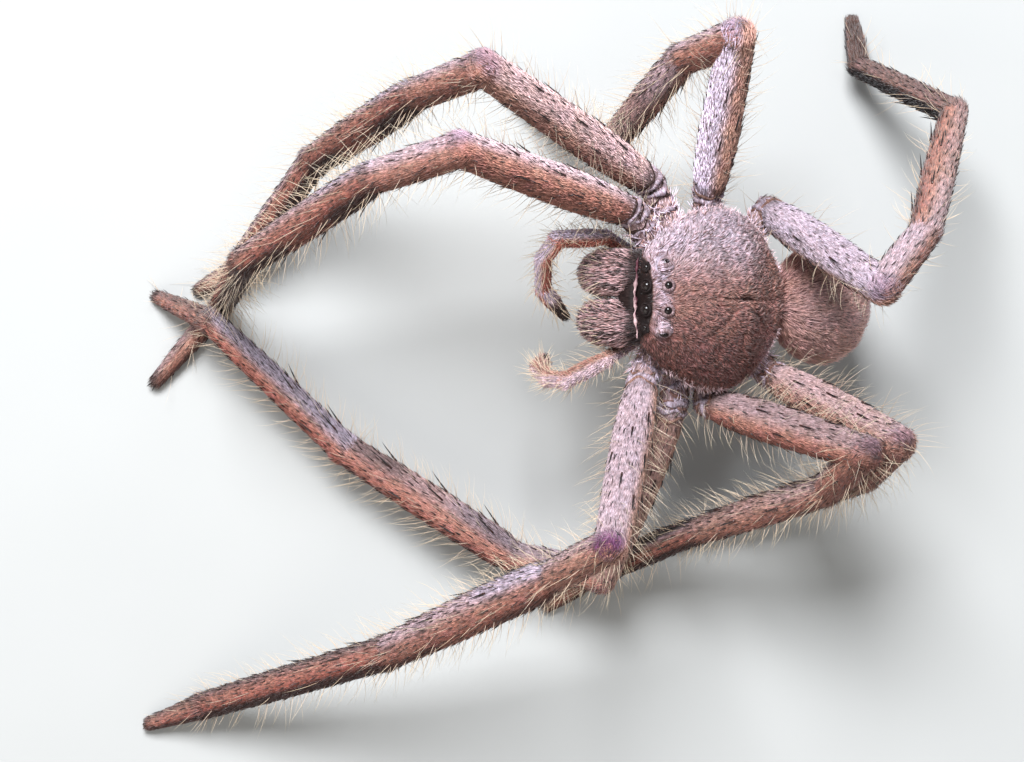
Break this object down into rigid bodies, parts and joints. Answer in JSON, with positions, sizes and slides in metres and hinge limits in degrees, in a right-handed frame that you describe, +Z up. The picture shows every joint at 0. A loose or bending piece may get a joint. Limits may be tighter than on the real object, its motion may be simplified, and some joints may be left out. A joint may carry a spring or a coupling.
{
  "type": "huntsman spider",
  "caption": "Still model of a slender huntsman spider standing on the floor, front raised, legs arched forward and its small abdomen low behind.",
  "frame": {"origin": "centre of the bounding box's bottom, on the floor between the feet", "axes": "+Z up; the spider faces -Y with its left side towards +X"},
  "size_m": [0.0504, 0.0562, 0.0252],
  "materials": {
    "abdomen": "brownish pink-beige soft fur",
    "carapace": "dusty pink-beige short fur",
    "chelicera_left": "grey-pink bristly fur with dark streaks",
    "chelicera_right": "grey-pink bristly fur with dark streaks",
    "eye_front_middle_left": "glossy black",
    "eye_front_middle_right": "glossy black",
    "eye_front_side_left": "glossy black",
    "eye_front_side_right": "glossy black",
    "eye_rear_middle_left": "glossy black",
    "eye_rear_middle_right": "glossy black",
    "eye_rear_side_left": "glossy black",
    "eye_rear_side_right": "glossy black",
    "fang_left": "glossy dark brown",
    "fang_right": "glossy dark brown",
    "leg_L1_coxa": "tan short fur",
    "leg_L1_femur": "lavender-white and pink fur",
    "leg_L1_tarsus": "brown-maroon fur, dark tip",
    "leg_L1_tibia": "salmon-pink fur, dark below",
    "leg_L2_coxa": "tan short fur",
    "leg_L2_femur": "lavender-white and pink fur",
    "leg_L2_tarsus": "brown-maroon fur, dark tip",
    "leg_L2_tibia": "salmon-pink fur, dark below",
    "leg_L3_coxa": "tan short fur",
    "leg_L3_femur": "lavender-white and pink fur",
    "leg_L3_tarsus": "brown-maroon fur, dark tip",
    "leg_L3_tibia": "salmon-pink fur, dark below",
    "leg_L4_coxa": "tan short fur",
    "leg_L4_femur": "lavender-white and pink fur",
    "leg_L4_tarsus": "brown-maroon fur, dark tip",
    "leg_L4_tibia": "salmon-pink fur, dark below",
    "leg_R1_coxa": "tan short fur",
    "leg_R1_femur": "lavender-white and pink fur",
    "leg_R1_tarsus": "brown-maroon fur, dark tip",
    "leg_R1_tibia": "salmon-pink fur, dark below",
    "leg_R2_coxa": "tan short fur",
    "leg_R2_femur": "lavender-white and pink fur",
    "leg_R2_tarsus": "brown-maroon fur, dark tip",
    "leg_R2_tibia": "salmon-pink fur, dark below",
    "leg_R3_coxa": "tan short fur",
    "leg_R3_femur": "lavender-white and pink fur",
    "leg_R3_tarsus": "brown-maroon fur, dark tip",
    "leg_R3_tibia": "salmon-pink fur, dark below",
    "leg_R4_coxa": "tan short fur",
    "leg_R4_femur": "lavender-white and pink fur",
    "leg_R4_tarsus": "brown-maroon fur, dark tip",
    "leg_R4_tibia": "salmon-pink fur, dark below",
    "palp_left_coxa": "pale pink fur",
    "palp_left_femur": "pale pink fur",
    "palp_left_tarsus": "pale pink fur",
    "palp_left_tibia": "pale pink fur",
    "palp_right_coxa": "pale pink fur",
    "palp_right_femur": "pale pink fur",
    "palp_right_tarsus": "pale pink fur",
    "palp_right_tibia": "pale pink fur",
    "pedicel": "tan skin",
    "spinnerets": "tan short fur",
    "sternum": "tan short fur"
  },
  "bodies": {
    "root": {"abdomen": "abdomen", "carapace": "carapace", "chelicera_left": "chelicera_left", "chelicera_right": "chelicera_right", "eye_front_middle_left": "eye_front_middle_left", "eye_front_middle_right": "eye_front_middle_right", "eye_front_side_left": "eye_front_side_left", "eye_front_side_right": "eye_front_side_right", "eye_rear_middle_left": "eye_rear_middle_left", "eye_rear_middle_right": "eye_rear_middle_right", "eye_rear_side_left": "eye_rear_side_left", "eye_rear_side_right": "eye_rear_side_right", "fang_left": "fang_left", "fang_right": "fang_right", "leg_L1_coxa": "leg_L1_coxa", "leg_L1_femur": "leg_L1_femur", "leg_L1_tarsus": "leg_L1_tarsus", "leg_L1_tibia": "leg_L1_tibia", "leg_L2_coxa": "leg_L2_coxa", "leg_L2_femur": "leg_L2_femur", "leg_L2_tarsus": "leg_L2_tarsus", "leg_L2_tibia": "leg_L2_tibia", "leg_L3_coxa": "leg_L3_coxa", "leg_L3_femur": "leg_L3_femur", "leg_L3_tarsus": "leg_L3_tarsus", "leg_L3_tibia": "leg_L3_tibia", "leg_L4_coxa": "leg_L4_coxa", "leg_L4_femur": "leg_L4_femur", "leg_L4_tarsus": "leg_L4_tarsus", "leg_L4_tibia": "leg_L4_tibia", "leg_R1_coxa": "leg_R1_coxa", "leg_R1_femur": "leg_R1_femur", "leg_R1_tarsus": "leg_R1_tarsus", "leg_R1_tibia": "leg_R1_tibia", "leg_R2_coxa": "leg_R2_coxa", "leg_R2_femur": "leg_R2_femur", "leg_R2_tarsus": "leg_R2_tarsus", "leg_R2_tibia": "leg_R2_tibia", "leg_R3_coxa": "leg_R3_coxa", "leg_R3_femur": "leg_R3_femur", "leg_R3_tarsus": "leg_R3_tarsus", "leg_R3_tibia": "leg_R3_tibia", "leg_R4_coxa": "leg_R4_coxa", "leg_R4_femur": "leg_R4_femur", "leg_R4_tarsus": "leg_R4_tarsus", "leg_R4_tibia": "leg_R4_tibia", "palp_left_coxa": "palp_left_coxa", "palp_left_femur": "palp_left_femur", "palp_left_tarsus": "palp_left_tarsus", "palp_left_tibia": "palp_left_tibia", "palp_right_coxa": "palp_right_coxa", "palp_right_femur": "palp_right_femur", "palp_right_tarsus": "palp_right_tarsus", "palp_right_tibia": "palp_right_tibia", "pedicel": "pedicel", "spinnerets": "spinnerets", "sternum": "sternum"}
  },
  "joints": []
}
